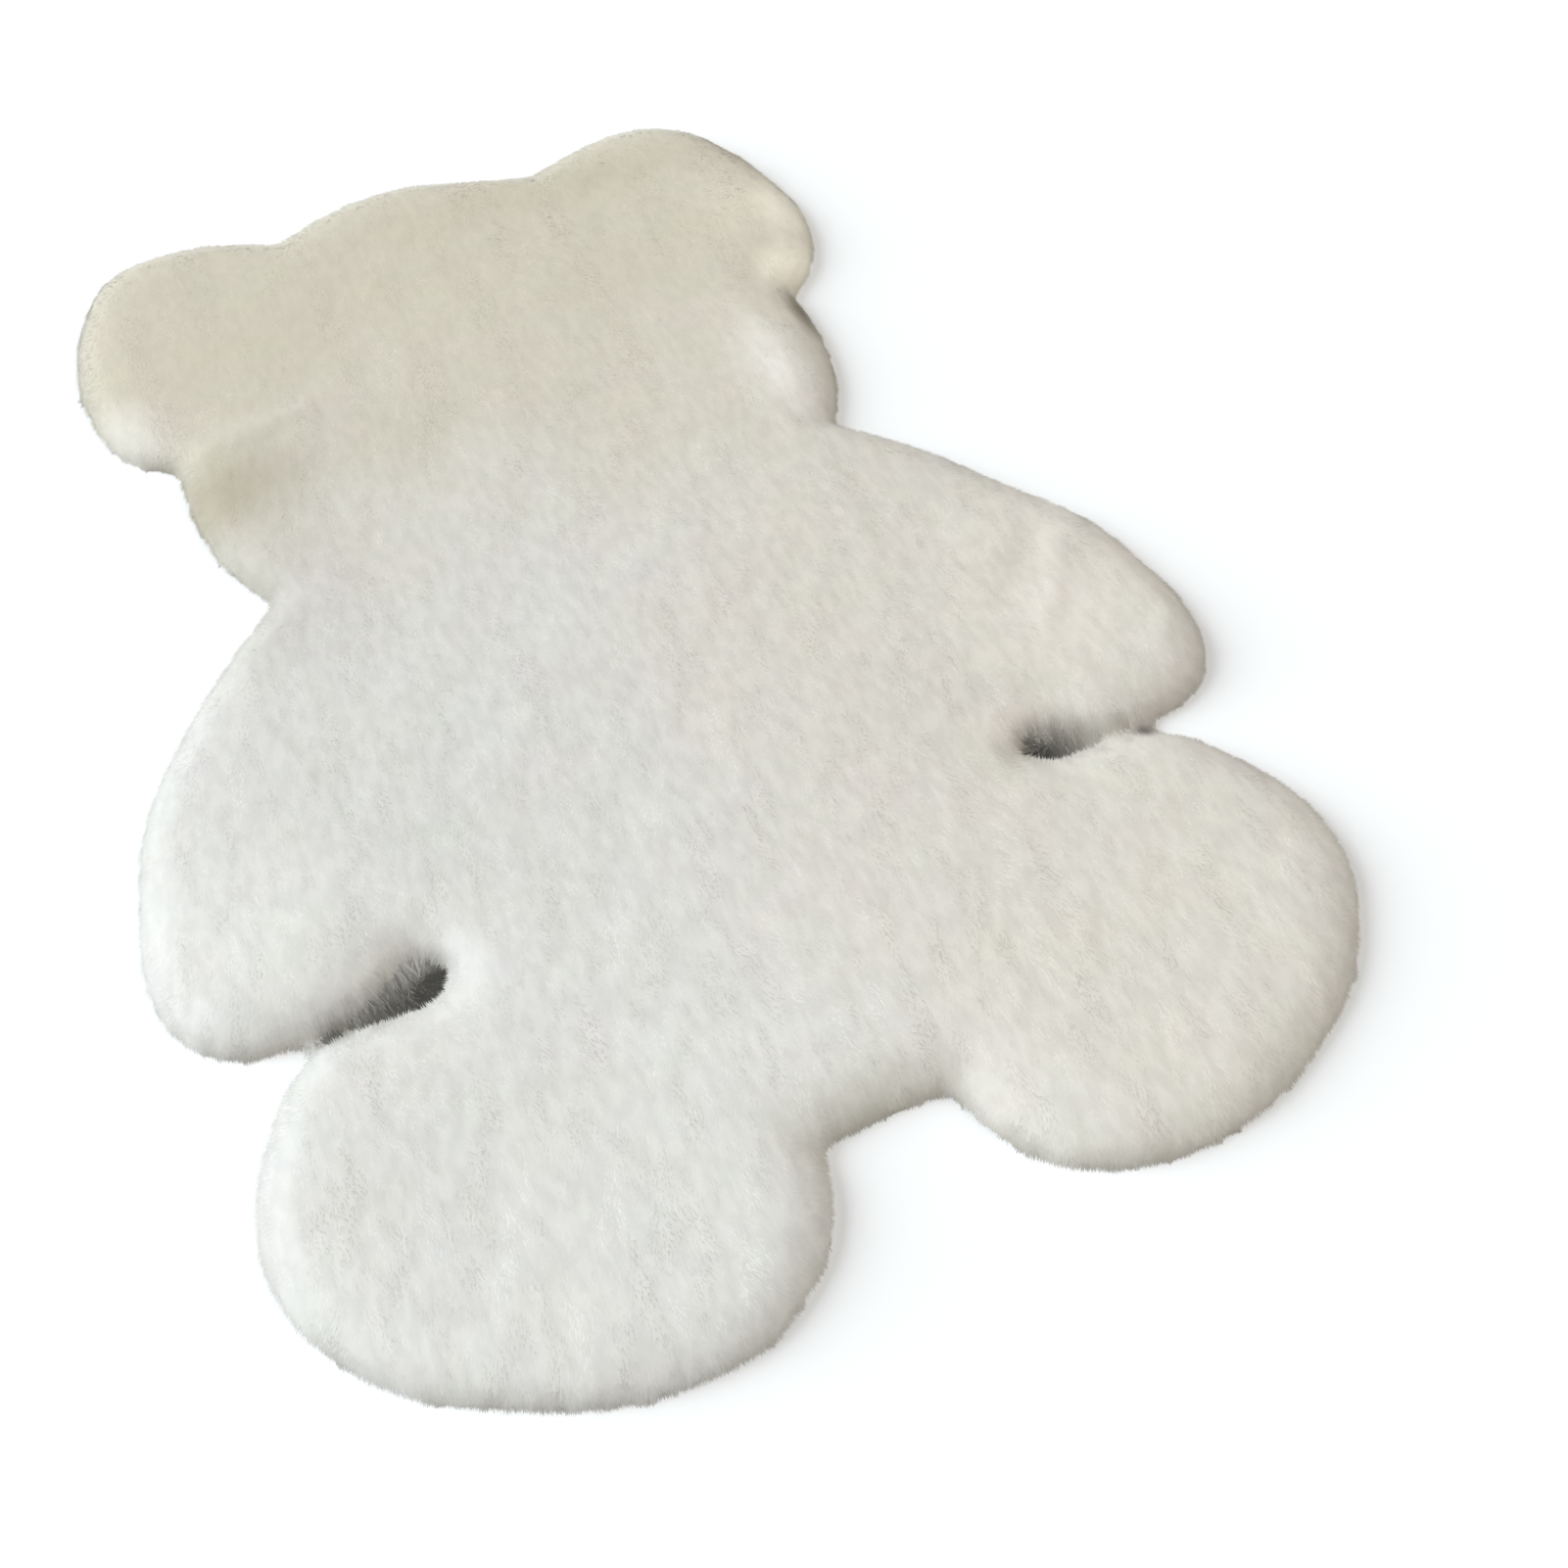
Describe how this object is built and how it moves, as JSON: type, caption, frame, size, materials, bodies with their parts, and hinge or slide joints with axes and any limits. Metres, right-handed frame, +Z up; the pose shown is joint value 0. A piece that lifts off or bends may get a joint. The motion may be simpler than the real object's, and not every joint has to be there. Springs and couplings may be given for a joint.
{
  "type": "bear-shaped plush rug",
  "caption": "White plush rug cut as one flat piece to a bear's outline, with rounded ears, cheeks, arms and legs and a soft rolled pile edge.",
  "frame": {"origin": "on the floor, under the middle of the rug's box", "axes": "+Y from the feet to the head, +X to the right seen from above with the head away, +Z up out of the pile"},
  "size_m": [0.6946, 0.9994, 0.021],
  "materials": {
    "plush": "short soft cut pile"
  },
  "bodies": {
    "root": {"bear_rug": "plush"}
  },
  "joints": []
}
